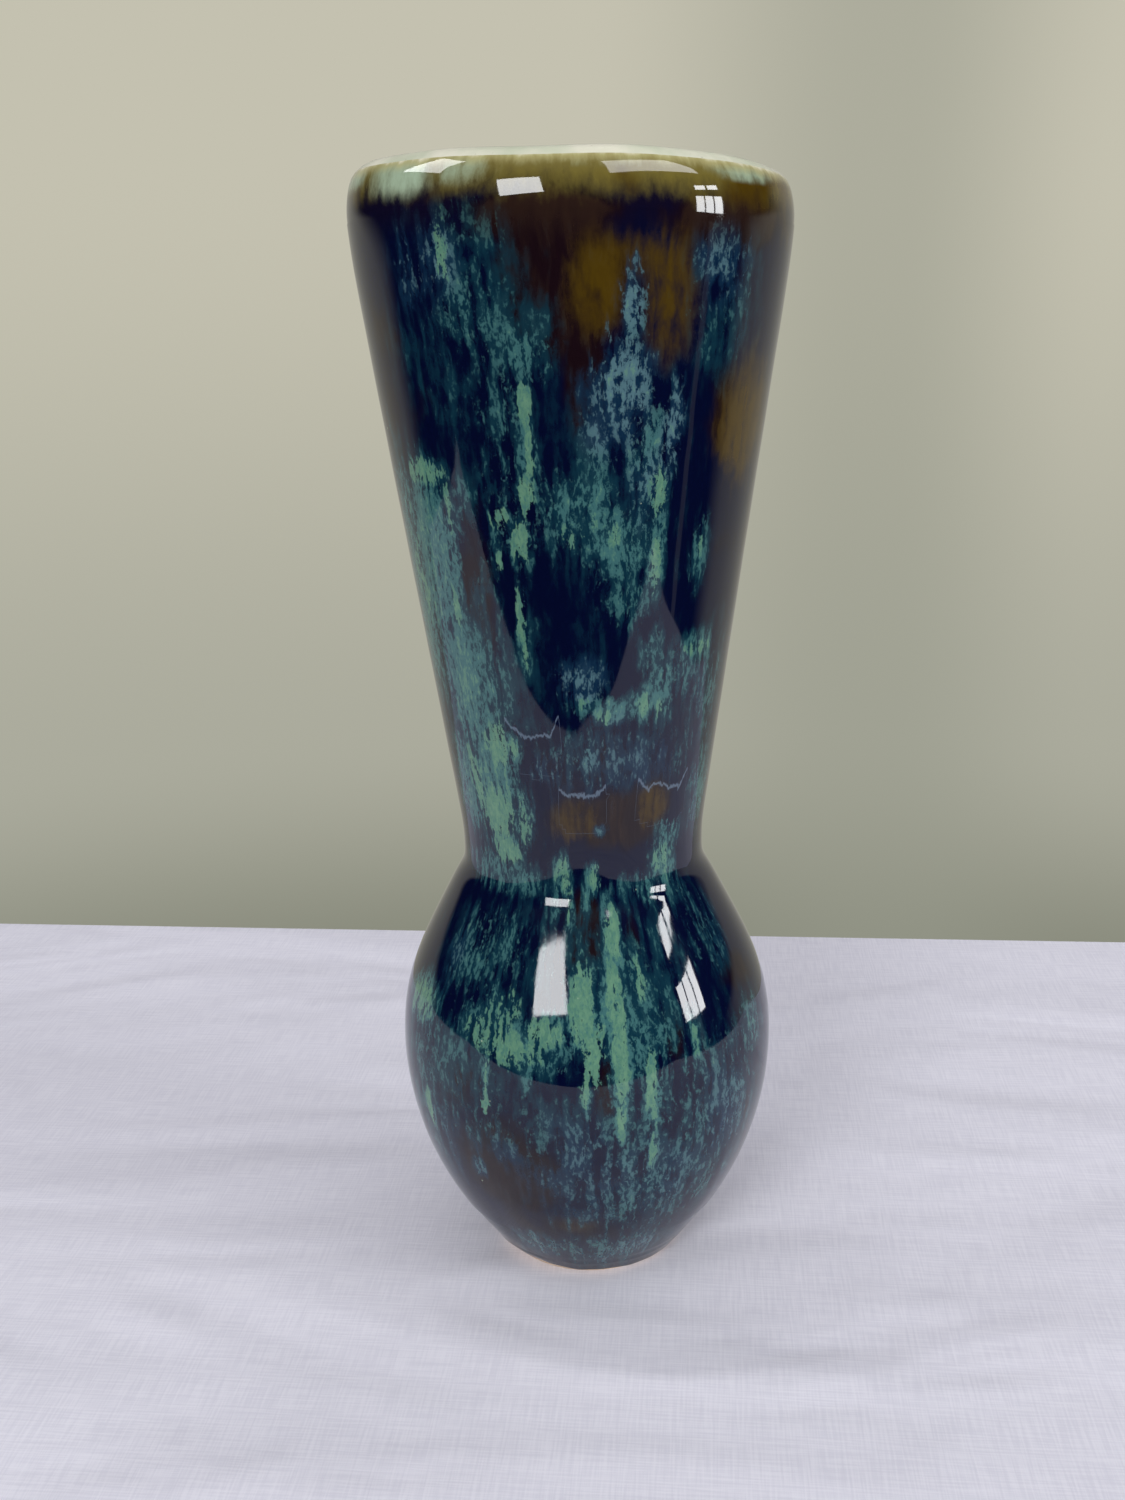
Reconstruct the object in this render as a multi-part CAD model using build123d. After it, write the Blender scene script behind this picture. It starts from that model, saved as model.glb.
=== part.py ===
from build123d import *
import os

# Glazed stoneware vase: a round belly on a turned foot, a tight waist, and a tall
# neck that opens like a trumpet to a rounded lip. Lengths are in millimetres.
# Frame: +Z up along the vase's axis, origin at the centre of the foot, on the table.

# Heights and radii of the glazed outside, from the foot upwards.
height = 240.0
foot_radius = 22.2
low_belly_height = 21.0
low_belly_radius = 35.1
belly_height = 50.0
belly_radius = 42.5
shoulder_height = 66.0
shoulder_radius = 40.9
slope_height = 85.0
slope_radius = 32.6
junction_height = 92.0
junction_radius = 28.85
waist_height = 96.0
waist_radius = 27.05
neck_foot_height = 99.0
neck_foot_radius = 26.85
throat_height = 112.0
throat_radius = 28.1
collar_height = 215.0
collar_radius = 42.9
rim_radius = 44.8
lip_radius = 3.5

# Wall from the glazed outside to the glazed inside, measured level.
foot_wall = 8.5
belly_wall = 5.8
waist_wall = 5.6
collar_wall = 5.0

# The floor inside: a flat middle that turns up into the wall.
floor_thickness = 9.0
floor_flat_radius = 10.0
floor_pull = 9.0
wall_pull = 5.5

# Coats of glaze, and where each one starts and stops.
base_glaze_thickness = 0.5
run_glaze_thickness = 0.35
lining_glaze_thickness = 0.5
foot_line_height = 2.0
lip_line_height = 238.2
runs_top_height = 229.0
runs_end_height = 15.0

# The two thrown sections are luted together just above the waist.
seam_height = 104.0
seam_thickness = 1.2

# The turned foot: a ring around a shallow recess, with its edges eased.
foot_recess_radius = 15.0
foot_recess_depth = 2.2
foot_edge = 0.8

# A slab this wide takes in the whole vase, and this depth is inside the wall everywhere.
reach = 100.0
middle_of_wall = 2.5

lip_centre_radius = rim_radius - lip_radius
lip_centre_height = height - lip_radius

# Leans are radius gained for each millimetre of height.
foot_lean = 0.75
low_belly_lean = 0.55
neck_lean = (collar_radius - throat_radius) / (collar_height - throat_height)
inner_neck_lean = neck_lean + (waist_wall - collar_wall) / (collar_height - throat_height)

# Stations that the belly's curve passes through: glazed radius, height and wall.
stations = [
    (low_belly_radius, low_belly_height, foot_wall),
    (belly_radius, belly_height, belly_wall),
    (shoulder_radius, shoulder_height, belly_wall),
    (slope_radius, slope_height, belly_wall),
    (junction_radius, junction_height, belly_wall),
    (waist_radius, waist_height, waist_wall),
    (neck_foot_radius, neck_foot_height, waist_wall),
    (throat_radius, throat_height, waist_wall),
]


def neck_side(throat, collar, lean, rim):
    """The straight neck from the throat up, then its last stretch turning upright."""
    straight = Line((throat, 0, throat_height), (collar, 0, collar_height))
    pull = (lip_centre_height - collar_height) / 3
    leaning = (collar + lean * pull, 0, collar_height + pull)
    upright = (rim, 0, lip_centre_height - pull)
    turn = Bezier(straight @ 1, leaning, upright, (rim, 0, lip_centre_height))
    return straight, turn


def outside(depth, lip_depth):
    """Half section of the vase without its hollow, out to this deep under side and lip."""
    points = [(foot_radius - depth, 0, foot_edge)]
    points += [(radius - depth, 0, level) for radius, level, wall in stations]
    belly = Spline(*points, tangents=[(foot_lean, 0, 1), (neck_lean, 0, 1)])
    collar = collar_radius - depth
    straight, turn = neck_side(throat_radius - depth, collar, neck_lean, rim_radius - lip_depth)
    crest = (lip_centre_radius, 0, height - lip_depth)
    lip = TangentArc(turn @ 1, crest, tangent=(0, 0, 1))
    top = Line(crest, (0, 0, height - lip_depth))
    middle = Line(top @ 1, (0, 0, 0))
    base = Line((0, 0, 0), (foot_radius - depth - foot_edge, 0, 0))
    bevel = Line(base @ 1, belly @ 0)
    return make_face([belly, straight, turn, lip, top, middle, base, bevel])


def hollow(depth):
    """Half section of the space inside, out to this deep under the lining, to above the lip."""
    flat = Line((0, 0, floor_thickness - depth), (floor_flat_radius, 0, floor_thickness - depth))
    points = [(radius - wall + depth, 0, level) for radius, level, wall in stations]
    leans = [(low_belly_lean, 0, 1), (inner_neck_lean, 0, 1)]
    belly = Spline(*points, tangents=leans)
    outward = flat @ 1 + Vector(floor_pull, 0, 0)
    below_belly = belly @ 0 - Vector(low_belly_lean, 0, 1) * wall_pull
    floor_turn = Bezier(flat @ 1, outward, below_belly, belly @ 0)
    throat = throat_radius - waist_wall + depth
    collar = collar_radius - collar_wall + depth
    rim = lip_centre_radius - lip_radius + depth
    straight, turn = neck_side(throat, collar, inner_neck_lean, rim)
    crest = (lip_centre_radius, 0, height - depth)
    lip = TangentArc(turn @ 1, crest, tangent=(0, 0, 1))
    rise = Line(crest, (lip_centre_radius, 0, height + lip_radius))
    top = Line(rise @ 1, (0, 0, height + lip_radius))
    middle = Line(top @ 1, flat @ 0)
    return make_face([flat, floor_turn, belly, straight, turn, lip, rise, top, middle])


def band(low, high):
    """Half section of a slab across the vase between two heights."""
    corners = [(0, 0, low), (reach, 0, low), (reach, 0, high), (0, 0, high)]
    return make_face(Polyline(*corners, close=True))


def foot_recess():
    """Half section of the hollow turned into the underside, with an eased edge."""
    eased = foot_recess_radius + foot_edge
    corners = [(0, 0, 0), (eased, 0, 0), (foot_recess_radius, 0, foot_edge)]
    corners += [(foot_recess_radius, 0, foot_recess_depth), (0, 0, foot_recess_depth)]
    return make_face(Polyline(*corners, close=True))


def lining_side():
    """Where the glaze belongs to the lining: all round the hollow and over the lip."""
    return hollow(middle_of_wall) + band(lip_line_height, height + lip_radius)


def sections():
    """The half section of every piece of the vase, by name."""
    glazed = outside(0, 0)
    under_runs = outside(run_glaze_thickness, 0)
    under_glaze = outside(run_glaze_thickness + base_glaze_thickness, lining_glaze_thickness)
    clay = under_glaze - hollow(lining_glaze_thickness) - foot_recess()
    seam_top = seam_height + seam_thickness
    return {
        "clay_belly": clay & band(0, seam_height),
        "clay_neck": clay & band(seam_top, height),
        "slip_seam": clay & band(seam_height, seam_top),
        "base_glaze": (under_runs & band(foot_line_height, lip_line_height)) - under_glaze,
        "run_glaze": (glazed & band(runs_end_height, runs_top_height)) - under_runs,
        "lining_glaze": (under_runs - hollow(0) - clay) & lining_side(),
    }


os.makedirs("parts", exist_ok=True)
for name, section in sections().items():
    piece = revolve(section, axis=Axis.Z, revolution_arc=360)
    export_step(piece, f"parts/{name}.step")
    size = piece.bounding_box().size
    print(name, round(piece.volume), round(size.X, 2), round(size.Y, 2), round(size.Z, 2))
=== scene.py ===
import math

import bpy
import numpy as np
from mathutils import Matrix, Quaternion, Vector


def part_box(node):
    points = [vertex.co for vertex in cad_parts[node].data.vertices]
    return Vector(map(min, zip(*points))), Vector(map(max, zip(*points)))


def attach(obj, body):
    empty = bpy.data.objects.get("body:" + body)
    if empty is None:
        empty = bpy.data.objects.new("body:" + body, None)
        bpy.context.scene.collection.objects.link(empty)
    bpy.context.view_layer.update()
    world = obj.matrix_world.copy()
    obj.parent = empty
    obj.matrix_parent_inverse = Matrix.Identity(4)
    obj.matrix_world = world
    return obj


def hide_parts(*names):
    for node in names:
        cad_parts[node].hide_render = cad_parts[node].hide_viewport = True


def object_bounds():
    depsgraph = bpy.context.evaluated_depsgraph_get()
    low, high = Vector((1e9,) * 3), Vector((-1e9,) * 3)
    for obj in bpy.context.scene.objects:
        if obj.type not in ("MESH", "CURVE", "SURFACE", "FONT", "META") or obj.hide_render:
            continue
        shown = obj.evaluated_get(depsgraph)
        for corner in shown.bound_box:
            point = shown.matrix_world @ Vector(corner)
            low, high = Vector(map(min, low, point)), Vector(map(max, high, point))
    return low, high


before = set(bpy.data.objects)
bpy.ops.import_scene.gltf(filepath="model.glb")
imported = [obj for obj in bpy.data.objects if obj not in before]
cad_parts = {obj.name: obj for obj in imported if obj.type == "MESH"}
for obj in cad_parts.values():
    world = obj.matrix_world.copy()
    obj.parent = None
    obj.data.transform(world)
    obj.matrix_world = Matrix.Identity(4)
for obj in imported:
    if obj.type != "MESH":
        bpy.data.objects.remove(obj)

cad_low, cad_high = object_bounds()

# Lengths are in metres, angles in degrees. Angle 0 on the vase is the side towards -Y,
# and angles grow towards +X.
MM = 0.001
COLUMNS = 288
SIDE_STEP = 1.0 * MM
HIDDEN_STEP = 3.0 * MM
OUTSIDE_STEP = 0.5 * MM
CORNER_DEGREES = 24.0
SHARP_DEGREES = 30.0
SEED = 11

# To a tenth of a millimetre.
rim_height = round(cad_high.z, 4)
coat_low, coat_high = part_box("base_glaze")

# Hand throwing's unevenness. The dip is a slope, and the rounding is for each metre.
RIM_DIP = 0.03
DIP_START = rim_height - 90 * MM
WAVE_START = rim_height - 18 * MM
ROUNDING_START = rim_height - 11.5 * MM
ROUNDING = 20.0
STEADY_ABOVE = 30 * MM
STEADY_OUTSIDE = 20 * MM

# The glaze's bare edge above the foot.
BARE_ANGLE = -42
BARE_HALF_WIDTH = 24
BARE_RISE = 1.7
GLAZE_DROP = 0.7
EDGE_FADE_LOW = 2 * MM
EDGE_FADE_HIGH = 9 * MM

# The glaze's flow coordinate is in mm: round the vase at one radius, and along the outside.
FLOW_RADIUS = 36.0
FLOW_LEAN = 0.03
FLOW_MIDDLE = 120
NO_RUN_EDGE = 9.0
RIM_SIDE_ANGLE = 25


# ---------------------------------------------------------------- shapes


def half_section(node):
    """The CAD node's own outline in the plane y = 0, as (radius, height) points in order."""
    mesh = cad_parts[node].data
    places = {}
    for vertex in mesh.vertices:
        x, y, z = vertex.co
        if abs(y) < 2e-7 and x > -1e-9:
            places[vertex.index] = (round(x * 1e6), round(z * 1e6))
    exact = {places[i]: (mesh.vertices[i].co.x, mesh.vertices[i].co.z) for i in places}
    joined = {}
    for edge in mesh.edges:
        a, b = (places.get(i) for i in edge.vertices)
        if a is not None and b is not None and a != b:
            joined.setdefault(a, set()).add(b)
            joined.setdefault(b, set()).add(a)
    ends = sorted(p for p in joined if len(joined[p]) == 1)
    here = ends[0] if ends else min(joined)
    walk, seen = [here], {here}
    while True:
        onward = sorted(p for p in joined[here] if p not in seen)
        if not onward:
            break
        here = onward[0]
        walk.append(here)
        seen.add(here)
    outline = np.array([exact[p] for p in walk])
    outline[:, 0] = np.maximum(outline[:, 0], 0.0)
    closed = not ends
    following = np.roll(outline, -1, axis=0)
    area = np.sum(outline[:, 0] * following[:, 1] - following[:, 0] * outline[:, 1])
    return (outline if area > 0 else outline[::-1]), closed


def smooth_run(points, step):
    """A smooth curve through the points, resampled at about the given step."""
    if len(points) < 3:
        count = 1 if len(points) < 2 else max(1, round(np.hypot(*(points[-1] - points[0])) / step))
        return points[0] + (points[-1] - points[0]) * np.linspace(0, 1, count + 1)[:, None]
    gap = np.hypot(*np.diff(points, axis=0).T)
    along = np.concatenate([[0], np.cumsum(gap)])
    slope = np.diff(points, axis=0) / gap[:, None]
    tangent = np.empty_like(points)
    a, b = gap[:-1, None], gap[1:, None]
    tangent[1:-1] = (slope[:-1] * b + slope[1:] * a) / (a + b)
    tangent[0] = 2 * slope[0] - tangent[1]
    tangent[-1] = 2 * slope[-1] - tangent[-2]
    count = max(2, round(along[-1] / step))
    wanted = np.linspace(0, along[-1], count + 1)
    k = np.clip(np.searchsorted(along, wanted, side="right") - 1, 0, len(gap) - 1)
    t = ((wanted - along[k]) / gap[k])[:, None]
    h = gap[k][:, None]
    return (
        (2 * t**3 - 3 * t**2 + 1) * points[k]
        + (t**3 - 2 * t**2 + t) * h * tangent[k]
        + (3 * t**2 - 2 * t**3) * points[k + 1]
        + (t**3 - t**2) * h * tangent[k + 1]
    )


def finer(outline, closed, seen_side, step, hidden_step):
    """The outline again with even, close points. seen_side is 1 where the side that faces away
    from the axis is seen, -1 where the side that faces it is, and 0 for both."""
    count = len(outline)
    before = outline - np.roll(outline, 1, axis=0)
    after = np.roll(outline, -1, axis=0) - outline
    turn = np.arctan2(
        before[:, 0] * after[:, 1] - before[:, 1] * after[:, 0], np.sum(before * after, axis=1)
    )
    corner = np.abs(np.degrees(turn)) > CORNER_DEGREES
    if not closed:
        corner[0] = corner[-1] = True
    starts = np.nonzero(corner)[0]
    made = []
    for n, first in enumerate(starts):
        if not closed and n == len(starts) - 1:
            break
        last = starts[(n + 1) % len(starts)]
        if last <= first:
            last += count
        run = outline[[i % count for i in range(first, last + 1)]]
        climb = np.sum(np.diff(run[:, 1]))
        hidden = seen_side * climb < 0
        made.append(smooth_run(run, hidden_step if hidden else step)[:-1])
    points = np.concatenate(made)
    return points if closed else np.concatenate([points, outline[-1:]])


def outside_radius(height):
    """Radius of the glazed outside at a height, before hand throwing's unevenness."""
    lean = (outside[1, 0] - outside[0, 0]) / (outside[1, 1] - outside[0, 1])
    below = np.minimum(height - outside[0, 1], 0) * lean
    return np.interp(height, outside[:, 1], outside[:, 0]) + below


def thrown(points):
    """Hand throwing's unevenness: the rim is a little lower on the right, wavy and rounded over,
    and the wall isn't quite true."""
    x, y, z = points.T
    angle = np.arctan2(x, -y)
    radius = np.hypot(x, y)
    high = np.clip((z - DIP_START) / (rim_height - DIP_START), 0, 1)
    lip = np.clip((z - WAVE_START) / (rim_height - WAVE_START), 0, 1) ** 2
    wave = 0.20 * np.sin(3 * angle + 0.9) + 0.14 * np.sin(5 * angle - 0.6) + 0.08 * np.sin(9 * angle)
    lift = -RIM_DIP * x * high**1.5 + wave * MM * lip
    rounding = ROUNDING * np.clip(z - ROUNDING_START, 0, None) ** 2
    swell = np.clip(z / STEADY_ABOVE, 0, 1) * MM * (
        0.10 * np.sin(2 * angle + 0.4 + 18 * z) + 0.05 * np.sin(3 * angle - 31 * z)
        + 0.012 * np.sin(z * 330 + angle)
    )
    moved = radius + (swell - rounding) * np.clip(radius / STEADY_OUTSIDE, 0, 1)
    scale = np.where(radius > 1e-9, moved, 0) / np.maximum(radius, 1e-9)
    return np.stack([x * scale, y * scale, z + lift], axis=1)


def glaze_edge(points):
    """The glaze's lower edge isn't level: it ends a little higher in places and bares the foot."""
    x, y, z = points.T
    angle = np.arctan2(x, -y)
    fade = np.clip((EDGE_FADE_HIGH - z) / (EDGE_FADE_HIGH - EDGE_FADE_LOW), 0, 1)
    across = (np.degrees(angle) - BARE_ANGLE) / BARE_HALF_WIDTH
    rise = BARE_RISE * np.exp(-(across**2)) - GLAZE_DROP
    rise += 0.22 * np.sin(4 * angle + 1) + 0.12 * np.sin(11 * angle) + 0.08 * np.sin(23 * angle + 2)
    lifted = z + fade * np.clip(rise, -1.0, None) * MM
    radius = np.hypot(x, y)
    scale = (radius + outside_radius(lifted) - outside_radius(z)) / radius
    return np.stack([x * scale, y * scale, lifted], axis=1)


def lathe(points, closed):
    """The places and faces that the (radius, height) points sweep out round the axis."""
    angles = np.radians(np.arange(COLUMNS) * 360.0 / COLUMNS)
    rings, places, count = [], [], 0
    for radius, height in points:
        if radius < 1e-6:
            rings.append([count] * COLUMNS)
            places.append([[0.0, 0.0, height]])
            count += 1
        else:
            rings.append(list(range(count, count + COLUMNS)))
            places.append(np.stack(
                [radius * np.sin(angles), -radius * np.cos(angles), np.full(COLUMNS, height)], axis=1
            ))
            count += COLUMNS
    faces = []
    for low, high in zip(rings, rings[1:] + rings[:1] if closed else rings[1:]):
        for c in range(COLUMNS):
            d = (c + 1) % COLUMNS
            loop = [low[c], low[d], high[d], high[c]]
            faces.append([v for i, v in enumerate(loop) if v != loop[i - 1]])
    return np.concatenate(places), faces


def turned(name, node, material, seen_side, step=SIDE_STEP, hidden_step=HIDDEN_STEP,
           edge=None, glazed=False):
    """A piece turned from the CAD node's half-section, which it replaces. Edge moves its places,
    and a glazed piece carries the glaze's fields."""
    outline, closed = half_section(node)
    places, faces = lathe(finer(outline, closed, seen_side, step, hidden_step), closed)
    mesh = bpy.data.meshes.new(name)
    mesh.from_pydata(thrown(edge(places) if edge else places).tolist(), [], faces)
    mesh.shade_smooth()
    mesh.set_sharp_from_angle(angle=math.radians(SHARP_DEGREES))
    mesh.update()
    if glazed:
        add_fields(mesh, places)
    mesh.materials.append(material)
    piece = bpy.data.objects.new(name, mesh)
    bpy.context.scene.collection.objects.link(piece)
    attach(piece, "root")
    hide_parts(node)


# ---------------------------------------------------------------- where the glaze is what

# Each patch is (angle, height in mm, half width in degrees, half height in mm, strength). They were
# typed in from the photo and from a view of it unwrapped as angle and height.
TEAL = [
    (-33, 222, 4, 9, .62), (-24, 226, 11, 6, .40), (-25, 213, 11, 9, .52), (-15, 206, 9, 8, .56),
    (-8, 206, 3, 7, .52), (-20, 195, 10, 8, .46), (-42, 221, 10, 10, .32), (-48, 205, 6, 12, .2),
    (-14, 187, 4, 13, .6), (-22, 181, 10, 10, .42), (-18, 172, 6, 7, .6), (-25, 171, 3, 6, .5),
    (-20, 153, 2.5, 9, .55), (12, 199, 9, 10, .66), (14, 213, 4, 9, .6), (5, 188, 5, 10, .5),
    (20, 186, 8, 13, .58), (27, 192, 3, 11, .6), (-5, 176, 7, 8, .6), (3, 178, 8, 8, .62),
    (12, 170, 12, 9, .64), (24, 168, 4, 10, .66), (16, 159, 10, 7, .5), (0, 152, 12, 8, .1),
    (-50, 183, 10, 3, .8), (-52, 166, 13, 18, .85), (-42, 171, 4, 11, .6), (-35, 178, 5, 6, .5),
    (-45, 140, 15, 18, .82), (-68, 160, 12, 26, .75), (-28, 140, 6, 9, .5), (-19, 147, 2, 6, .55),
    (-40, 120, 12, 14, .88), (-28, 128, 4, 4, .8), (-56, 118, 12, 12, .78), (-38, 105, 9, 5, .85),
    (-27, 113, 7, 8, .58), (-45, 99, 22, 5, .6), (0, 143, 10, 5, .5), (0, 138, 6, 3, .68),
    (10, 136, 8, 3, .74), (22, 137, 6, 4, .8), (30, 140, 8, 8, .62), (33, 134, 5, 3, .5),
    (25, 148, 6, 6, .5), (46, 147, 12, 4, .62), (40, 142, 9, 6, .5), (41, 167, 5, 8, .55),
    (2, 126, 1.4, 8, .6), (-15, 123, 9, 3, .36), (7, 110, 3, 1.6, .6), (40, 106, 9, 5, .6),
    (57, 138, 12, 14, .45), (62, 115, 12, 12, .5), (38, 222, 9, 6, .5), (44, 215, 8, 10, .32),
    (36, 207, 3, 6, .4), (-10, 100, 4, 5, .85), (-12, 93, 3, 4, .6), (-6, 93, 1.6, 5, .6),
    (3, 99, 3.5, 4, .85), (0, 95, 2, 4, .7), (38, 100, 9, 5, .8), (28, 96, 7, 4, .6),
    (18, 97, 8, 3, .42), (-30, 98, 14, 4, .55), (-45, 82, 14, 10, .5), (-30, 86, 8, 8, .5),
    (-33, 75, 4, 6, .6), (10, 86, 5, 7, .85), (8, 91, 3, 6, .6), (-2, 74, 5, 10, .9),
    (8, 74, 6, 10, .76), (-22, 67, 7, 5, .85), (-12, 70, 6, 5, .8), (-28, 73, 6, 5, .6),
    (9, 60, 3, 12, .9), (8, 50, 2, 7, .8), (18, 56, 3, 10, .85), (18, 44, 2, 10, .7),
    (17, 34, 2, 6, .55), (-1, 57, 1.3, 6, .8), (-31.5, 59, 1.2, 10, .8), (-18, 60, 2, 4, .7),
    (22, 72, 8, 12, .5), (16, 80, 8, 8, .5), (33, 66, 2, 7, .7), (29, 62, 1.5, 5, .6),
    (28, 86, 6, 6, .34), (50, 85, 14, 10, .34), (46, 94, 10, 4, .42), (-65, 68, 12, 6, .75),
    (-60, 55, 8, 8, .5), (-57, 47, 4, 8, .55), (-45, 63, 6, 6, .42), (0, 45, 14, 12, .42),
    (10, 40, 8, 10, .5), (30, 52, 14, 10, .42), (28, 42, 14, 8, .4), (50, 52, 8, 8, .5),
    (60, 62, 10, 8, .5), (46, 42, 6, 6, .42), (14, 28, 8, 5, .5), (11, 32, 3, 5, .5),
    (-37, 35, 3, 3, .5), (-5, 38, 5, 8, .36), (-20, 12, 18, 6, .5), (12, 12, 25, 7, .5),
    (-30, 205, 28, 26, .24), (12, 180, 24, 34, .24), (-45, 140, 34, 44, .3), (-5, 84, 62, 12, .3),
    (34, 48, 40, 22, .42), (-45, 60, 22, 10, .42), (0, 9, 90, 10, .3), (42, 215, 16, 16, .26),
    (44, 130, 16, 16, .3), (8, 126, 34, 7, .38), (22, 34, 40, 18, .44), (-62, 45, 18, 22, .44),
    (-5, 48, 60, 10, .36), (-17, 67, 14, 7, .6), (10, 70, 12, 12, .6), (-35, 69, 10, 7, .5),
]
GREEN = [
    (-33, 223, 2, 7, .6), (-14, 196, 2, 3.5, .85), (-13, 187, 1.4, 6, .6), (-15, 179, 2, 4, .95),
    (-24, 175, 3, 2.5, .7), (-18, 171, 3, 4, .85), (-25, 167, 1.6, 2, .65), (-20, 156, 1.8, 5, .75),
    (-19, 148, 1.1, 5, .55), (23, 180, 3, 6, .55), (24, 166, 2, 6, .65), (10, 172, 4, 3, .42),
    (-4, 172, 3, 4, .5), (2, 175, 3, 4, .46), (-50, 183, 9, 2.5, .8), (-42, 176, 1.6, 8, .55),
    (-45, 157, 2, 5, .55), (-65, 163, 5, 13, .5), (-35, 128, 7, 5, .7), (-40, 113, 9, 8, .75),
    (-38, 104, 7, 3, .95), (-28, 128, 2.4, 2, .85), (-26, 112, 4, 6, .5), (-50, 120, 6, 8, .6),
    (8, 135, 3, 2, .6), (22, 137, 3.5, 2.5, .75), (0, 138, 3, 1.6, .55), (30, 136, 2, 3, .5),
    (-10, 100, 3, 4, .8), (4, 99, 2.6, 3, .8), (38, 101, 6, 4, .6), (-7, 94, 1, 4, .5),
    (10, 88, 3.4, 4.5, .95), (-2, 75, 3.6, 8, .95), (9, 76, 3, 8, .72), (9, 62, 2, 9, .9),
    (18, 58, 2, 7, .85), (8, 50, 1.2, 5, .75), (18, 45, 1.2, 8, .6), (-24, 66, 6, 4, .85),
    (-15, 67, 5, 4, .6), (-35, 68, 6, 4, .5), (-27, 73, 5, 5, .55), (1, 66, 5, 7, .7),
    (-14, 70, 6, 3, .85), (-31.5, 52, 1.3, 2.5, .95), (-1.5, 60, 1, 6, .72), (-31.5, 60, .8, 9, .6),
    (33, 66, 1, 5, .6), (17, 80, 4, 5, .4), (-33, 74, 2, 4, .5), (-65, 68, 8, 4, .7),
    (-57, 46, 2, 6, .5), (41, 169, 2, 3, .5), (46, 147, 8, 1.6, .5),
]
SKY = [
    (12, 200, 12, 14, 1), (14, 215, 6, 10, 1), (27, 192, 5, 12, .9), (20, 182, 10, 10, .5),
    (-42, 222, 14, 12, .8), (38, 222, 10, 10, .8), (0, 143, 12, 5, .9), (-15, 123, 10, 5, .8),
    (0, 42, 14, 10, .7), (33, 125, 6, 5, 1), (-50, 82, 16, 12, .4), (52, 84, 16, 12, .4),
    (0, 10, 90, 10, .4), (8, 120, 40, 16, .6), (-10, 34, 60, 20, .55), (40, 50, 20, 20, .5),
]
WARM = [
    (-5, 222, 12, 16, 1), (3, 205, 5, 17, 1), (8, 216, 16, 12, .8), (-47, 192, 10, 7, .3),
    (-3, 125, 26, 8, .5), (40, 128, 16, 10, .3), (18, 112, 30, 7, .9), (-1, 89, 7, 8, 1),
    (-34, 67, 3, 3, 1), (5, 58, 4, 8, .8), (26, 67, 4, 6, .8), (18, 88, 3, 4, .6),
    (60, 74, 12, 5, .6), (40, 228, 22, 5, 1), (-8, 228, 20, 5, 1), (-26, 38, 16, 13, 1),
    (-42, 55, 14, 8, .5), (-35, 162, 8, 17, .8),
    (62, 38, 12, 14, .6), (-10, 20, 30, 6, .6), (46, 192, 8, 10, .5), (18, 178, 10, 10, .3),
    (-70, 200, 14, 30, .5), (70, 175, 14, 30, .5),
]
OCHRE = [
    (6, 216, 8, 9, 1), (23, 215, 9, 12, .9), (14, 221, 15, 5, .8), (57, 192, 14, 13, .95),
    (-4, 112, 12, 5, .62), (31, 114, 8, 5, .75), (38, 108, 6, 4, .4), (-5, 22, 9, 3, .6),
    (-78, 224, 12, 9, .3), (72, 230, 20, 6, .6),
]
PALE = [
    (-46, 236, 13, 4, .75), (-26, 236.5, 9, 3, .6), (8, 237, 30, 1.2, .3), (45, 236.5, 12, 1.6, .6),
    (-75, 236.5, 16, 2.4, .7),
]
# Pale outlines where a run stopped: (angle, height in mm) along each.
RUN_EDGES = [
    [(-31, 136), (-27, 132), (-19, 130.5), (-12, 131.5), (-8, 136)],
    [(-11, 121), (-8, 118.5), (0, 118), (6, 118.5), (10, 121)],
    [(22, 121), (27, 119), (36, 118), (44, 117), (49, 120)],
]

chance = np.random.default_rng(SEED)


def round_the_back(patches):
    """These patches, and ones like them round the side that isn't seen."""
    made = list(patches)
    for at, up, wide, tall, strength in patches:
        made.append((
            180 - 1.12 * at + chance.uniform(-9, 9), up + chance.uniform(-0.7, 0.7) * tall,
            wide * chance.uniform(0.8, 1.3), tall * chance.uniform(0.8, 1.3),
            strength * chance.uniform(0.8, 1.1),
        ))
    return made


def field(patches, angle, height):
    """Strength at each place: the strongest of the patches there, with soft edges."""
    value = np.zeros(len(angle))
    for at, up, wide, tall, strength in patches:
        across = (angle - at + 180) % 360 - 180
        far = (across / wide) ** 2 + ((height - up) / tall) ** 2
        value = np.maximum(value, strength * np.exp(-0.75 * far**1.4))
    return value


def run_edge_distance(angle, height):
    """How far above the nearest run's outline a place is, in mm, or far where there is none."""
    value = np.full(len(angle), NO_RUN_EDGE)
    for line in RUN_EDGES:
        line_angle, line_height = np.array(line).T
        above = height - np.interp(angle, line_angle, line_height)
        beyond = np.clip(np.maximum(line_angle[0] - angle, angle - line_angle[-1]), 0, None)
        off = np.where(beyond > 0, NO_RUN_EDGE, above)
        value = np.where(np.abs(off) < np.abs(value), off, value)
    return value


FIELDS = {
    "teal": round_the_back(TEAL),
    "green": round_the_back(GREEN),
    "sky": round_the_back(SKY),
    "warm": round_the_back(WARM),
    "ochre": round_the_back(OCHRE),
    "pale": round_the_back(PALE),
}


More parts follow.
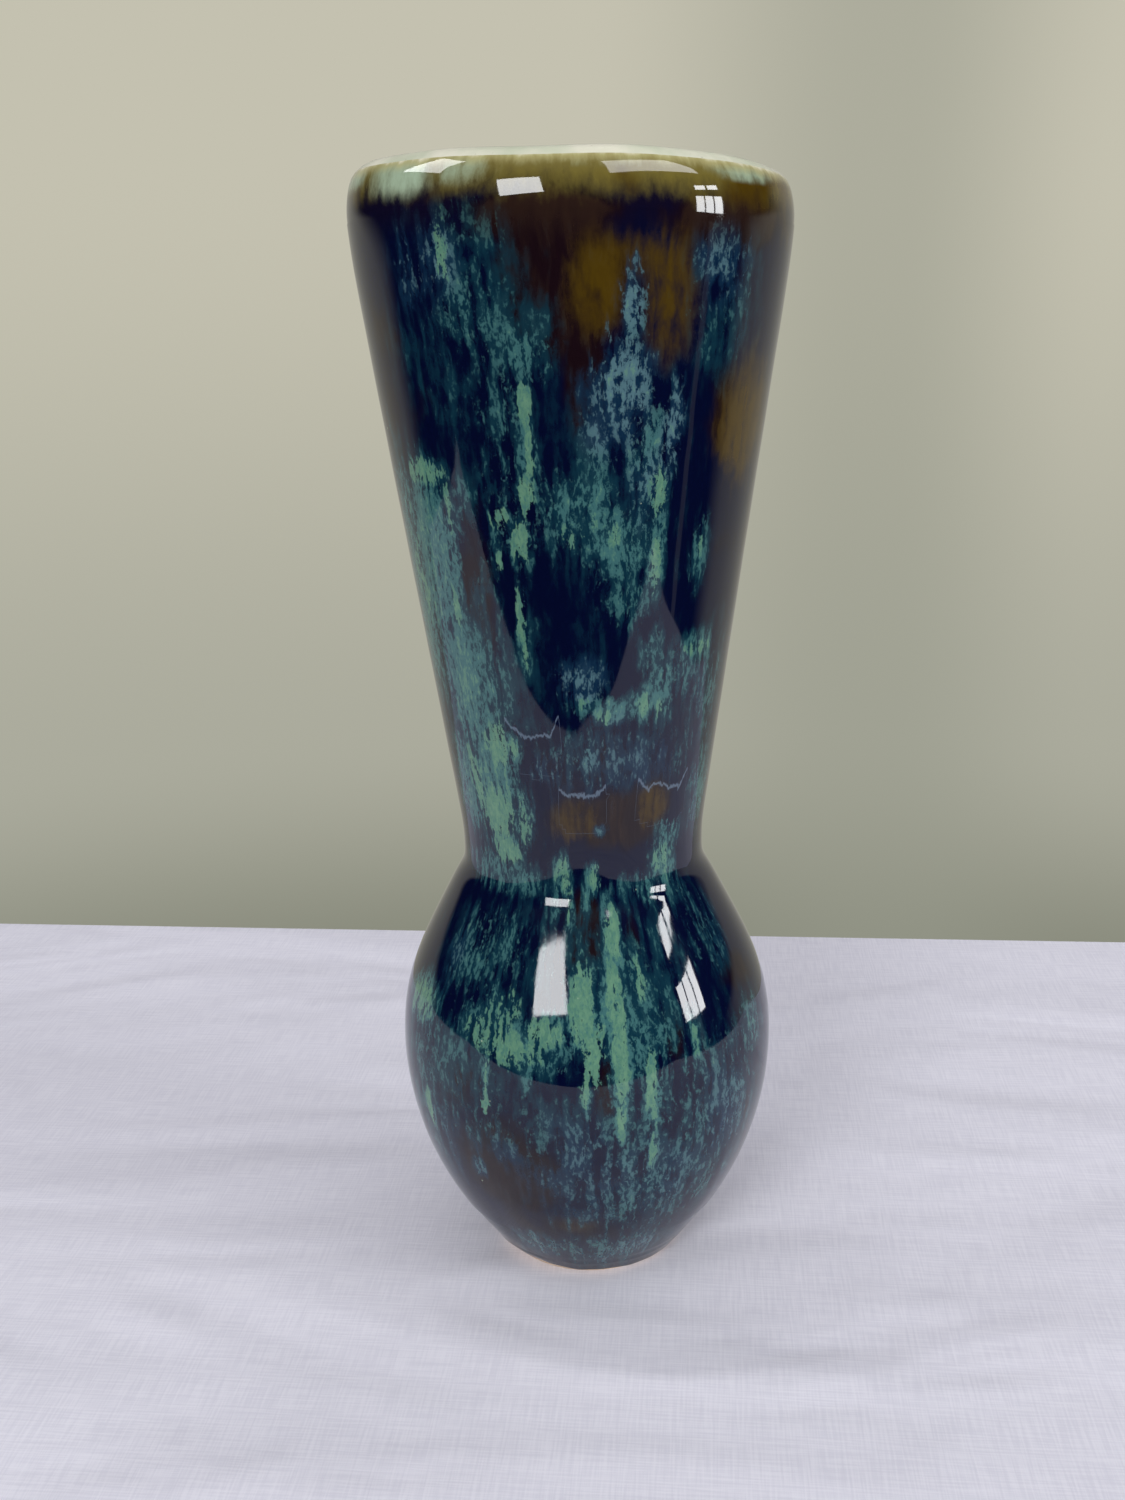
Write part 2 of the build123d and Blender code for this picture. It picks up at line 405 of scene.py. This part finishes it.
def add_fields(mesh, places):
    """Stores the glaze's flow coordinate and fields on the mesh's vertices."""
    angle = np.degrees(np.arctan2(places[:, 0], -places[:, 1]))
    height = places[:, 2] / MM
    drift = np.radians(angle + (height - FLOW_MIDDLE) * FLOW_LEAN)
    along = np.interp(places[:, 2], outside[:, 1], outside_length) / MM
    flow = np.stack([FLOW_RADIUS * np.sin(drift), -FLOW_RADIUS * np.cos(drift), along], axis=1)
    mesh.attributes.new("flow", "FLOAT_VECTOR", "POINT").data.foreach_set(
        "vector", flow.astype(np.float32).ravel()
    )
    values = {name: field(patches, angle, height) for name, patches in FIELDS.items()}
    values["run_edge"] = run_edge_distance(angle, height)
    values["height"] = height
    values["rim_side"] = np.cos(np.radians(angle - RIM_SIDE_ANGLE))
    for name, value in values.items():
        mesh.attributes.new(name, "FLOAT", "POINT").data.foreach_set(
            "value", value.astype(np.float32)
        )


# The glazed outside as (radius, height), from both coats, and the distance along it.
coat_outlines = np.concatenate([
    finer(*half_section(node), 1, OUTSIDE_STEP, OUTSIDE_STEP) for node in ("run_glaze", "base_glaze")
])
levels = np.arange(coat_low.z, coat_high.z + 0.2 * MM, OUTSIDE_STEP)
widest = [
    coat_outlines[np.abs(coat_outlines[:, 1] - level) < 0.9 * OUTSIDE_STEP, 0].max()
    for level in levels
]
outside = np.stack([np.array(widest), levels], axis=1)
outside_length = np.concatenate([[0], np.cumsum(np.hypot(*np.diff(outside, axis=0).T))])


# ---------------------------------------------------------------- materials


def linear(red, green, blue):
    """A colour given as seen on screen, 0 to 255, as the linear values that Blender takes."""
    def one(value):
        value /= 255
        return value / 12.92 if value <= 0.04045 else ((value + 0.055) / 1.055) ** 2.4
    return (one(red), one(green), one(blue), 1.0)


class Graph:
    """Short names for adding and joining shader nodes."""

    def __init__(self, tree):
        self.tree = tree
        tree.nodes.clear()

    def put(self, socket, value):
        if isinstance(value, bpy.types.NodeSocket):
            self.tree.links.new(value, socket)
        elif value is not None:
            socket.default_value = value

    def math(self, operation, *values):
        node = self.tree.nodes.new("ShaderNodeMath")
        node.operation = operation
        for socket, value in zip(node.inputs, values):
            self.put(socket, value)
        return node.outputs[0]

    def ramp(self, value, low, high, out_low=0.0, out_high=1.0):
        """Smoothly from out_low to out_high as value goes from low to high."""
        node = self.tree.nodes.new("ShaderNodeMapRange")
        node.interpolation_type = "SMOOTHSTEP"
        inputs = {"Value": value, "From Min": low, "From Max": high, "To Min": out_low, "To Max": out_high}
        for name, wanted in inputs.items():
            self.put(node.inputs[name], wanted)
        return node.outputs["Result"]

    def mix(self, factor, a, b):
        """Colour a where factor is 0 and b where it is 1."""
        node = self.tree.nodes.new("ShaderNodeMix")
        node.data_type = "RGBA"
        factor_input, *_ = node.inputs
        a_input, b_input = (i for i in node.inputs if i.type == "RGBA")
        self.put(factor_input, factor)
        self.put(a_input, a)
        self.put(b_input, b)
        return next(o for o in node.outputs if o.type == "RGBA")

    def attribute(self, name, vector=False):
        node = self.tree.nodes.new("ShaderNodeAttribute")
        node.attribute_name = name
        return node.outputs["Vector" if vector else "Fac"]

    def stretched(self, vector, sizes, shift=0.0):
        """The vector divided by sizes, so that a noise on it has features of those sizes."""
        node = self.tree.nodes.new("ShaderNodeVectorMath")
        node.operation = "MULTIPLY_ADD"
        self.put(node.inputs[0], vector)
        node.inputs[1].default_value = [1.0 / s for s in sizes]
        node.inputs[2].default_value = (shift, shift * 0.7, shift * 1.3)
        return node.outputs[0]

    def shifted(self, vector, by, amount):
        """The vector moved by a noise's colour, centred on no move."""
        centred = self.tree.nodes.new("ShaderNodeVectorMath")
        centred.operation = "SUBTRACT"
        self.put(centred.inputs[0], by)
        centred.inputs[1].default_value = (0.5, 0.5, 0.5)
        scaled = self.tree.nodes.new("ShaderNodeVectorMath")
        scaled.operation = "MULTIPLY_ADD"
        self.put(scaled.inputs[0], centred.outputs[0])
        scaled.inputs[1].default_value = amount
        self.put(scaled.inputs[2], vector)
        return scaled.outputs[0]

    def noise(self, vector, detail=2.0, rough=0.5, distortion=0.0, colour=False):
        node = self.tree.nodes.new("ShaderNodeTexNoise")
        self.put(node.inputs["Vector"], vector)
        node.inputs["Scale"].default_value = 1.0
        node.inputs["Detail"].default_value = detail
        node.inputs["Roughness"].default_value = rough
        node.inputs["Distortion"].default_value = distortion
        return node.outputs["Color" if colour else "Fac"]

    def bump(self, height, distance, strength=1.0, normal=None):
        node = self.tree.nodes.new("ShaderNodeBump")
        node.inputs["Strength"].default_value = strength
        node.inputs["Distance"].default_value = distance
        self.put(node.inputs["Height"], height)
        self.put(node.inputs["Normal"], normal)
        return node.outputs["Normal"]

    def over(self, noise, gain, value):
        """The value, raised and lowered by a noise."""
        return self.math("MULTIPLY_ADD", self.math("SUBTRACT", noise, 0.5), gain, value)

    def broken(self, name, least, *gains):
        """A field broken up by noises, each with its gain, and only by a share where it is nil."""
        strength = self.attribute(name)
        total = 0.0
        for noise, gain in gains:
            total = self.over(noise, gain, total)
        return self.math("MULTIPLY_ADD", total, self.ramp(strength, 0.0, 0.4, least, 1.0), strength)

    def surface(self, colour, roughness, normal, ior=1.5):
        shader = self.tree.nodes.new("ShaderNodeBsdfPrincipled")
        self.put(shader.inputs["Base Color"], colour)
        self.put(shader.inputs["Roughness"], roughness)
        self.put(shader.inputs["Normal"], normal)
        shader.inputs["IOR"].default_value = ior
        out = self.tree.nodes.new("ShaderNodeOutputMaterial")
        self.tree.links.new(shader.outputs[0], out.inputs["Surface"])
        return shader


def new_material(name):
    material = bpy.data.materials.new(name)
    material.use_nodes = True
    return material, Graph(material.node_tree)


NAVY = linear(4, 10, 40)
AUBERGINE = linear(25, 12, 18)
BROWN = linear(46, 31, 24)
OCHRE_GLAZE = linear(78, 59, 12)
OLIVE = linear(116, 104, 48)
DEEP_TEAL = linear(16, 52, 66)
MILKY_TEAL = linear(38, 76, 84)
MILKY_BLUE = linear(40, 68, 88)
TEAL_BLUE = linear(66, 112, 112)
SKY_BLUE = linear(88, 122, 130)
DEEP_BLUE = linear(18, 46, 70)
BRIGHT_GREEN = linear(104, 146, 118)
SEA_GREEN = linear(84, 128, 108)
CELADON = linear(168, 188, 160)
STRAW = linear(186, 178, 122)
CREAM = linear(240, 236, 214)
RUN_OUTLINE = linear(120, 140, 160)


class GlazeNoises:
    """The noises that break the glaze up, in the flow coordinate, so their sizes are in mm."""

    def __init__(self, g, flow):
        sway = g.noise(g.stretched(flow, (7, 7, 11)), 2, 0.5, colour=True)
        swayed = g.shifted(flow, sway, (2.6, 2.6, 2.0))
        fret = g.noise(g.stretched(flow, (1.1, 1.1, 1.8), 3.1), 3, 0.6, colour=True)
        fretted = g.shifted(swayed, fret, (1.3, 1.3, 1.8))
        self.lace = g.noise(g.stretched(fretted, (0.75, 0.75, 1.9), 7.0), 5, 0.62)
        self.streak = g.noise(g.stretched(swayed, (1.7, 1.7, 13.0), 1.7), 4, 0.55)
        self.clump = g.noise(g.stretched(fretted, (2.0, 2.0, 5.6), 5.2), 6, 0.6)
        self.cloud = g.noise(g.stretched(flow, (11, 11, 17), 2.3), 3, 0.55)
        self.fine = g.noise(g.stretched(fretted, (0.4, 0.4, 0.9), 9.4), 3, 0.6)


def dark_ground(g, n, warm):
    """Navy, going to aubergine and brown where it is warm, and ochre where it is thin."""
    ground = g.mix(warm, NAVY, AUBERGINE)
    brown = g.ramp(g.over(n.streak, 2.0, g.math("MULTIPLY", warm, 0.5)), 0.35, 0.9)
    ground = g.mix(g.math("MULTIPLY", brown, 0.6), ground, BROWN)
    ochre = g.broken("ochre", 0.0, (n.clump, 1.2), (n.streak, 1.0), (n.cloud, 0.8))
    return g.mix(g.ramp(ochre, 0.15, 1.15), ground, OCHRE_GLAZE)


def feathered(g, n, ground, teal):
    """Feathers of teal over the ground, bluer in places: a milky wash, then pale lace."""
    blueness = g.ramp(g.over(n.cloud, 1.2, g.attribute("sky")), 0.2, 0.8)
    wash = g.broken("teal", 0.35, (n.clump, 1.3), (n.streak, 1.2), (n.cloud, 0.9))
    deep = g.mix(blueness, DEEP_TEAL, DEEP_BLUE)
    milky = g.mix(g.ramp(wash, 0.45, 0.95), deep, g.mix(blueness, MILKY_TEAL, MILKY_BLUE))
    colour = g.mix(g.math("MULTIPLY", g.ramp(wash, 0.1, 0.5), 0.85), ground, milky)
    pale = g.mix(blueness, TEAL_BLUE, SKY_BLUE)
    thickness = g.ramp(g.attribute("teal"), 0.3, 0.6, 0.5, 0.85)
    colour = g.mix(g.math("MULTIPLY", g.ramp(teal, 0.42, 0.7), thickness), colour, pale)
    return g.mix(g.math("MULTIPLY", g.ramp(teal, 0.85, 1.15), 0.6), colour, BRIGHT_GREEN)


def green_runs(g, n, colour):
    """Thicker dabs and runs of bright green, and thin pale outlines where a run stopped."""
    green = g.broken("green", 0.4, (n.clump, 1.7), (n.streak, 1.7), (n.lace, 1.9))
    mottled = g.mix(g.ramp(n.fine, 0.4, 0.7), SEA_GREEN, TEAL_BLUE)
    thick = g.mix(g.ramp(n.lace, 0.35, 0.65), BRIGHT_GREEN, mottled)
    colour = g.mix(g.ramp(green, 0.42, 0.56), colour, thick)
    edge = g.math("ABSOLUTE", g.over(n.clump, 5.0, g.over(n.lace, 1.6, g.attribute("run_edge"))))
    return g.mix(g.math("MULTIPLY", g.ramp(edge, 0.6, 0.1), 0.5), colour, RUN_OUTLINE)


def thin_rim(g, n, colour, warm):
    """The rim, where the coats are thin: a dark band, an olive band, pale celadon, then cream."""
    rim_top = rim_height / MM
    height = g.attribute("height")
    rim = g.over(n.clump, 6.0, g.over(n.streak, 2.0, g.over(n.cloud, 7.0, height)))
    band_start = g.math("MULTIPLY_ADD", g.attribute("rim_side"), -1.0, rim_top - 9.5)
    dusk = g.ramp(rim, g.math("SUBTRACT", band_start, 7.0), g.math("ADD", band_start, 1.0))
    dusk = g.math("MULTIPLY", dusk, g.ramp(warm, 0.0, 0.8, 0.45, 0.85))
    dark = g.mix(g.ramp(g.over(n.cloud, 2.0, warm), 0.4, 0.9), AUBERGINE, BROWN)
    colour = g.mix(dusk, colour, dark)
    band = g.ramp(rim, band_start, g.math("ADD", band_start, 6.0))
    colour = g.mix(band, colour, g.mix(g.ramp(n.cloud, 0.4, 0.65), OLIVE, OCHRE_GLAZE))
    celadon = g.ramp(g.broken("pale", 0.0, (n.clump, 0.9), (n.cloud, 0.9)), 0.1, 0.9)
    colour = g.mix(celadon, colour, CELADON)
    thin = g.over(n.clump, 2.4, g.over(n.streak, 0.8, g.over(n.cloud, 2.4, height)))
    colour = g.mix(g.ramp(thin, rim_top - 4.2, rim_top - 1.4), colour, STRAW)
    return g.mix(g.ramp(thin, rim_top - 2.4, rim_top - 0.8), colour, CREAM)


def running_glaze():
    """Dark glaze with streaked, feathered green and blue glazes that ran down over it."""
    material, g = new_material("running_glaze")
    flow = g.attribute("flow", vector=True)
    n = GlazeNoises(g, flow)
    warm = g.ramp(g.over(n.cloud, 1.6, g.attribute("warm")), 0.25, 0.75)
    teal = g.broken("teal", 0.45, (n.lace, 2.3), (n.streak, 1.2), (n.clump, 1.0))
    colour = feathered(g, n, dark_ground(g, n, warm), teal)
    colour = thin_rim(g, n, green_runs(g, n, colour), warm)

    pinholes = g.tree.nodes.new("ShaderNodeTexVoronoi")
    g.put(pinholes.inputs["Vector"], g.stretched(flow, (13, 13, 13), 4.4))
    pinholes.inputs["Scale"].default_value = 1.0
    hole = g.ramp(pinholes.outputs["Distance"], 0.02, 0.012)
    colour = g.mix(g.math("MULTIPLY", hole, 0.8), colour, CELADON)

    roughness = g.ramp(g.noise(g.stretched(flow, (5, 5, 9), 6.0), 3, 0.5), 0.3, 0.7, 0.02, 0.05)
    swell = g.bump(g.noise(g.stretched(flow, (9, 9, 14), 8.0), 1, 0.4), 0.07 * MM)
    relief = g.bump(g.ramp(teal, 0.2, 0.8), 0.0015 * MM, 1.0, swell)
    normal = g.bump(hole, -0.08 * MM, 1.0, relief)
    g.surface(colour, roughness, normal, ior=1.46)
    return material


# Turning lines, in radians for each metre of radius.
TURNING_LINES = 6500.0


def lining():
    """Cream glaze of the inside, pooled a little greener, with a few specks."""
    material, g = new_material("cream_lining")
    flow = g.tree.nodes.new("ShaderNodeTexCoord").outputs["Object"]
    pool = g.noise(g.stretched(flow, (0.018, 0.018, 0.04)), 4, 0.55)
    speck = g.noise(g.stretched(flow, (0.0007, 0.0007, 0.0009)), 3, 0.6)
    colour = g.mix(g.ramp(pool, 0.35, 0.65), CREAM, linear(206, 212, 184))
    colour = g.mix(g.math("MULTIPLY", g.ramp(speck, 0.68, 0.74), 0.5), colour, linear(120, 100, 62))
    roughness = g.ramp(pool, 0.3, 0.7, 0.04, 0.09)
    normal = g.bump(g.noise(g.stretched(flow, (0.008, 0.008, 0.011)), 2, 0.5), 0.00014)
    g.surface(colour, roughness, normal, ior=1.52)
    return material


def bare_clay(name, light, dark):
    """Matt fired clay with grog, iron specks and fine turning lines."""
    material, g = new_material(name)
    place = g.tree.nodes.new("ShaderNodeTexCoord").outputs["Object"]
    grain = g.noise(g.stretched(place, (0.0009, 0.0009, 0.0007)), 5, 0.65)
    broad = g.noise(g.stretched(place, (0.012, 0.012, 0.008)), 3, 0.5)
    specks = g.noise(g.stretched(place, (0.0005, 0.0005, 0.0005), 3.0), 2, 0.5)
    colour = g.mix(g.ramp(broad, 0.3, 0.7), light, dark)
    colour = g.mix(g.math("MULTIPLY", g.ramp(specks, 0.68, 0.76), 0.7), colour, linear(110, 70, 48))
    flattened = g.tree.nodes.new("ShaderNodeVectorMath")
    flattened.operation = "MULTIPLY"
    g.put(flattened.inputs[0], place)
    flattened.inputs[1].default_value = (1, 1, 0)
    radius = g.tree.nodes.new("ShaderNodeVectorMath")
    radius.operation = "LENGTH"
    g.put(radius.inputs[0], flattened.outputs[0])
    ring = g.math("SINE", g.math("MULTIPLY", radius.outputs["Value"], TURNING_LINES))
    relief = g.math("MULTIPLY_ADD", ring, 0.25, grain)
    roughness = g.ramp(grain, 0.3, 0.7, 0.72, 0.92)
    g.surface(colour, roughness, g.bump(relief, 0.12 * MM), ior=1.45)
    return material


# ---------------------------------------------------------------- the vase

glaze = running_glaze()
cream = lining()
clay = bare_clay("bare_stoneware", linear(226, 206, 182), linear(208, 180, 152))
slip = bare_clay("joining_slip", linear(214, 192, 166), linear(196, 168, 140))

turned("running_glaze_coat", "run_glaze", glaze, 1, glazed=True)
turned(
    "dark_base_coat", "base_glaze", glaze, 1,
    hidden_step=4 * MM, edge=glaze_edge, glazed=True,
)
turned("cream_lining_coat", "lining_glaze", cream, -1, step=1.2 * MM)
turned("stoneware_belly", "clay_belly", clay, 0, step=1.6 * MM)
turned("stoneware_neck", "clay_neck", clay, 0, step=2.5 * MM)
turned("slip_seam_ring", "slip_seam", slip, 0, step=0.6 * MM)


# ---------------------------------------------------------------- table, room and light

TABLE_NEAR = -0.245
TABLE_FAR = 0.175
TABLE_LEFT = -0.62
TABLE_RIGHT = 0.36
TABLE_GAP = 0.02 * MM
ROOM_YAW = 5.8


def cloth():
    """White woven cloth, with soft creases. It is clear from below."""
    material, g = new_material("white_cloth")
    place = g.tree.nodes.new("ShaderNodeTexCoord").outputs["Object"]
    warp, weft = (
        g.noise(g.stretched(place, sizes), 2, 0.5) for sizes in ((0.0005, 0.012, 1), (0.012, 0.0005, 1))
    )
    weave = g.math("ADD", warp, weft)
    creases = g.noise(g.stretched(place, (0.17, 0.07, 1), 0.4), 2, 0.4, 1.4)
    shade = g.mix(g.ramp(weave, 0.7, 1.3), linear(224, 222, 232), linear(236, 234, 242))
    normal = g.bump(creases, 12 * MM, 0.55, g.bump(weave, 0.12 * MM, 0.4))
    shader = g.surface(shade, 0.9, normal)
    clear = g.tree.nodes.new("ShaderNodeBsdfTransparent")
    chosen = g.tree.nodes.new("ShaderNodeMixShader")
    below = g.tree.nodes.new("ShaderNodeNewGeometry").outputs["Backfacing"]
    g.put(chosen.inputs[0], below)
    g.put(chosen.inputs[1], shader.outputs[0])
    g.put(chosen.inputs[2], clear.outputs[0])
    out = next(node for node in g.tree.nodes if node.type == "OUTPUT_MATERIAL")
    g.tree.links.new(chosen.outputs[0], out.inputs["Surface"])
    return material


table_mesh = bpy.data.meshes.new("table_cloth")
table_mesh.from_pydata(
    [
        (TABLE_LEFT, TABLE_NEAR, 0), (TABLE_RIGHT, TABLE_NEAR, 0),
        (TABLE_RIGHT, TABLE_FAR, 0), (TABLE_LEFT, TABLE_FAR, 0),
    ],
    [], [(0, 1, 2, 3)],
)
table = bpy.data.objects.new("table_cloth", table_mesh)
bpy.context.scene.collection.objects.link(table)
table.rotation_euler.z = math.radians(-ROOM_YAW)
table.location.z = cad_low.z - TABLE_GAP
table_mesh.materials.append(cloth())


WINDOW_DISTANCE = 1.2
WINDOW_COLOUR = (0.97, 0.985, 1.0)


def window(name, azimuth, low, high, width, radiance, panes=1, bar=0.03, roll=0.0, lights_matt=True):
    """A bright window of panes side by side: azimuth is from -Y towards +X, low and high are
    heights. Roll tips it over sideways. A skylight shows in gloss and doesn't light matt things."""
    pane_width = (width - bar * (panes - 1)) / panes
    turn = math.radians(azimuth)
    out = Vector((math.sin(turn), -math.cos(turn), 0))
    side = Vector((math.cos(turn), math.sin(turn), 0))
    middle = out * WINDOW_DISTANCE + Vector((0, 0, (low + high) / 2))
    for i in range(panes):
        light = bpy.data.lights.new(f"{name}_{i}", "AREA")
        light.shape = "RECTANGLE"
        light.size = pane_width
        light.size_y = high - low
        light.energy = radiance * math.pi * pane_width * (high - low)
        light.color = WINDOW_COLOUR
        lamp = bpy.data.objects.new(f"{name}_{i}", light)
        lamp.location = middle + side * ((i - (panes - 1) / 2) * (pane_width + bar))
        lamp.rotation_mode = "QUATERNION"
        lamp.rotation_quaternion = Quaternion(out, math.radians(roll)) @ out.to_track_quat("Z", "Y")
        lamp.visible_diffuse = lights_matt
        bpy.context.scene.collection.objects.link(lamp)


window("front_window", -25, 0.46, 0.80, 0.46, 16, roll=10)
window("side_window", 70, 0.18, 0.45, 0.34, 18, panes=3, bar=0.018)
window("side_transom", 70, 0.56, 0.63, 0.30, 18, panes=2)
window("left_skylight", -86, 0.92, 1.90, 0.62, 10, lights_matt=False)
window("right_skylight", 46, 0.98, 2.00, 1.15, 7.5, lights_matt=False)
window("side_frame", 71, -0.45, 0.15, 0.07, 0.25)


def room():
    """Soft light all round. The vase's gloss sees a dark room in front and the pale wall behind."""
    world = bpy.data.worlds.new("room")
    bpy.context.scene.world = world
    world.use_nodes = True
    g = Graph(world.node_tree)
    direction = g.tree.nodes.new("ShaderNodeTexCoord").outputs["Generated"]
    parts = g.tree.nodes.new("ShaderNodeSeparateXYZ")
    g.put(parts.inputs[0], direction)
    x, y, z = parts.outputs
    ray = g.tree.nodes.new("ShaderNodeLightPath")

    # The camera sees the wall, lighter towards the top, with a soft shadow right of the vase.
    wall = g.mix(g.ramp(z, -0.42, -0.26), linear(134, 136, 122), linear(170, 170, 156))
    wall = g.mix(g.ramp(z, -0.30, 0.12), wall, linear(196, 193, 176))
    shadow = g.math("MULTIPLY", g.ramp(x, 0.02, 0.2), g.ramp(x, 0.35, 0.22))
    wall = g.mix(g.math("MULTIPLY", shadow, 0.55), wall, linear(150, 152, 138))

    # Gloss sees a dark room, with the wall well behind the vase and a grey ceiling.
    beyond = g.math("MULTIPLY_ADD", g.ramp(z, -0.08, 0.1), -0.4, g.math("MULTIPLY_ADD", x, 0.12, y))
    behind = g.ramp(beyond, 0.12, 0.42)
    seen = g.mix(behind, linear(16, 15, 18), linear(176, 174, 162))
    seen = g.mix(g.ramp(z, 0.45, 0.75), seen, linear(150, 150, 148))

    # Matt things are lit by a soft grey room, lighter above.
    soft = g.mix(g.ramp(z, -0.2, 0.6), linear(126, 126, 128), linear(202, 202, 207))
    colour = g.mix(ray.outputs["Is Glossy Ray"], soft, seen)
    colour = g.mix(ray.outputs["Is Camera Ray"], colour, wall)
    back = g.tree.nodes.new("ShaderNodeBackground")
    g.put(back.inputs["Color"], colour)
    back.inputs["Strength"].default_value = 1.0
    out = g.tree.nodes.new("ShaderNodeOutputWorld")
    g.tree.links.new(back.outputs[0], out.inputs["Surface"])


room()

# ---------------------------------------------------------------- camera

CAMERA_PLACE = Vector((-0.00414, -0.310, 0.2084))
CAMERA_PITCH = 16.0
CAMERA_ROLL = -1.353
CAMERA_LENS = 34.8
CAMERA_SENSOR = 36.0
CAMERA_NEAR = 0.01
CAMERA_FAR = 20.0

camera_data = bpy.data.cameras.new("camera")
camera_data.lens = CAMERA_LENS
camera_data.sensor_width = CAMERA_SENSOR
camera_data.clip_start = CAMERA_NEAR
camera_data.clip_end = CAMERA_FAR
camera = bpy.data.objects.new("camera", camera_data)
camera.matrix_world = (
    Matrix.Translation(CAMERA_PLACE)
    @ Matrix.Rotation(math.radians(90 - CAMERA_PITCH), 4, "X")
    @ Matrix.Rotation(math.radians(CAMERA_ROLL), 4, "Z")
)
bpy.context.scene.collection.objects.link(camera)
bpy.context.scene.camera = camera
bpy.context.scene.view_settings.view_transform = "Standard"

bpy.context.view_layer.update()
